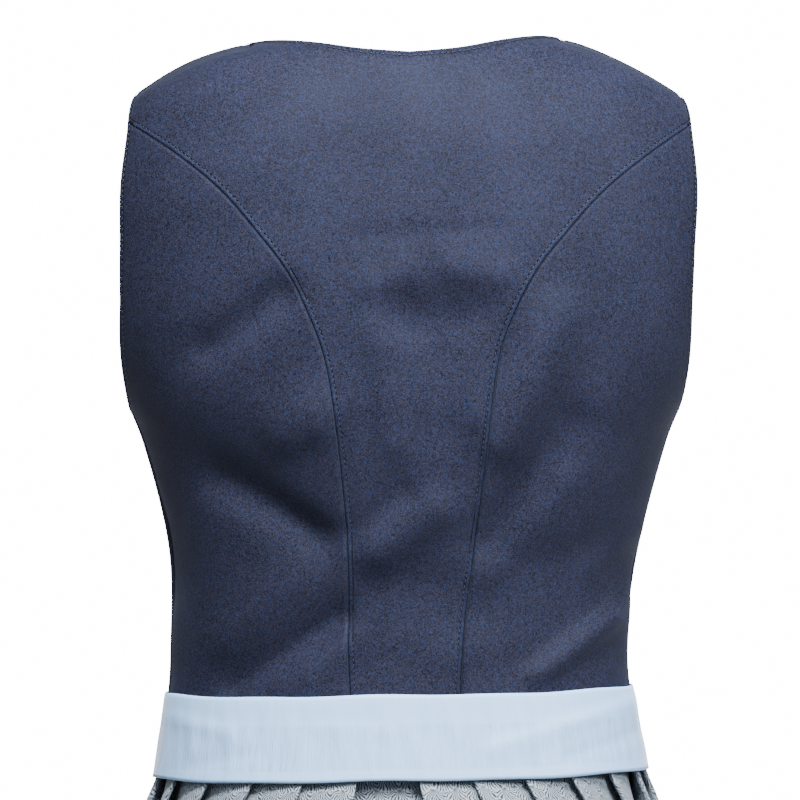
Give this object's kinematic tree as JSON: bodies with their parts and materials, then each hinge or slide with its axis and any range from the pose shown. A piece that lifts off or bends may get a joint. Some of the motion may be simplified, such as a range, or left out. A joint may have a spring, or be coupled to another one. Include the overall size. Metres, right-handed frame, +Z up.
{
  "type": "dirndl",
  "caption": "Sleeveless dirndl with a suede-look panelled bodice, a knife-pleated jacquard skirt, and an apron whose wide sash ties in a bow at the front.",
  "frame": {"origin": "between the shoulders, level with the top of the garment, where the wearer's shoulders carry it", "axes": "+Z up, the front faces -Y, +X is the wearer's left"},
  "size_m": [0.6229, 0.5514, 1.0757],
  "materials": {
    "navy_suede": "brushed suede",
    "skirt_jacquard": "satin jacquard",
    "apron_sheer": "soft sheen",
    "button_metal": "antique satin"
  },
  "bodies": {
    "root": {"bodice_back": "navy_suede", "bodice_side_back_left": "navy_suede", "bodice_side_back_right": "navy_suede", "bodice_side_front_left": "navy_suede", "bodice_side_front_right": "navy_suede", "bodice_front_left": "navy_suede", "bodice_front_right": "navy_suede", "button_1": "button_metal", "button_2": "button_metal", "button_3": "button_metal", "button_4": "button_metal", "button_5": "button_metal", "button_6": "button_metal", "button_7": "button_metal", "skirt_back": "skirt_jacquard", "skirt_front": "skirt_jacquard", "sash": "apron_sheer", "apron": "apron_sheer", "bow_knot": "apron_sheer", "bow_loop_left": "apron_sheer", "bow_loop_right": "apron_sheer", "bow_tail_left": "apron_sheer", "bow_tail_right": "apron_sheer"}
  },
  "joints": []
}
